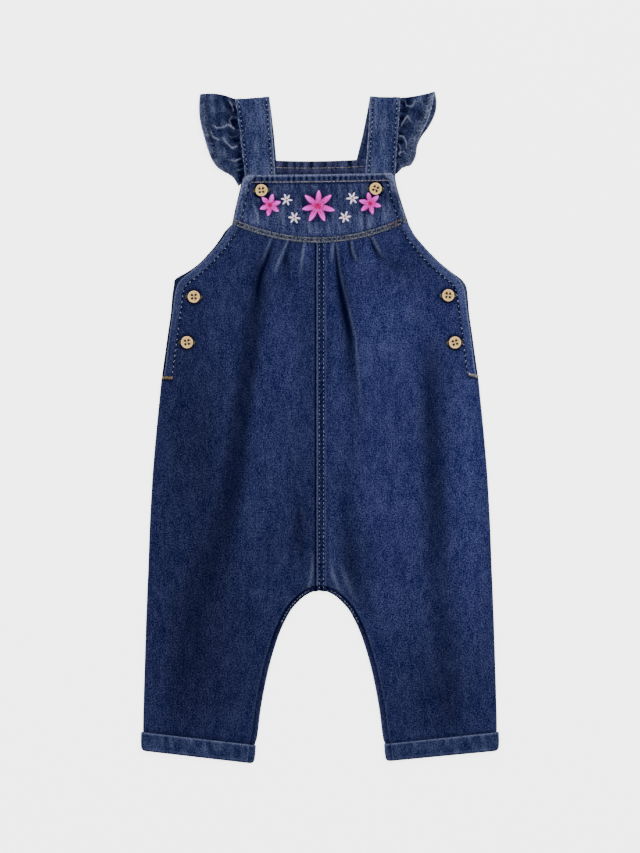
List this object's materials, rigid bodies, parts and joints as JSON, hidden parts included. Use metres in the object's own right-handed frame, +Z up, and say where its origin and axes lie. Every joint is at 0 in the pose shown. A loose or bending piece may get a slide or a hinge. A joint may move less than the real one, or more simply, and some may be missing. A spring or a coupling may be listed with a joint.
{
  "type": "kids dungarees",
  "caption": "Toddler denim dungarees laid flat: gathered fronts on an embroidered yoke, ruffled shoulder straps, buttoned side openings and turned-up legs.",
  "frame": {"origin": "middle of the garment's outline, on the surface it lies on", "axes": "+X towards the garment's right as seen from the front, +Y from the hems to the shoulders, +Z up from the surface, out of the front"},
  "size_m": [0.315, 0.591, 0.0079],
  "materials": {
    "denim": "dark indigo twill, fine pale flecks, matt",
    "washed_denim": "indigo twill washed paler along seams and edges, matt",
    "wood": "pale turned wood, satin",
    "thread": "golden brown sewing thread",
    "embroidery": "glossy pink embroidery thread"
  },
  "bodies": {
    "root": {"front_left": "denim", "front_right": "denim", "back_left": "denim", "back_right": "denim", "front_yoke": "washed_denim", "back_yoke": "washed_denim", "strap_left": "washed_denim", "strap_right": "washed_denim", "ruffle_left": "washed_denim", "ruffle_right": "washed_denim", "cuff_left": "washed_denim", "cuff_right": "washed_denim", "button_yoke_left": "wood", "button_yoke_right": "wood", "button_side_left_1": "wood", "button_side_left_2": "wood", "button_side_right_1": "wood", "button_side_right_2": "wood"}
  },
  "joints": []
}
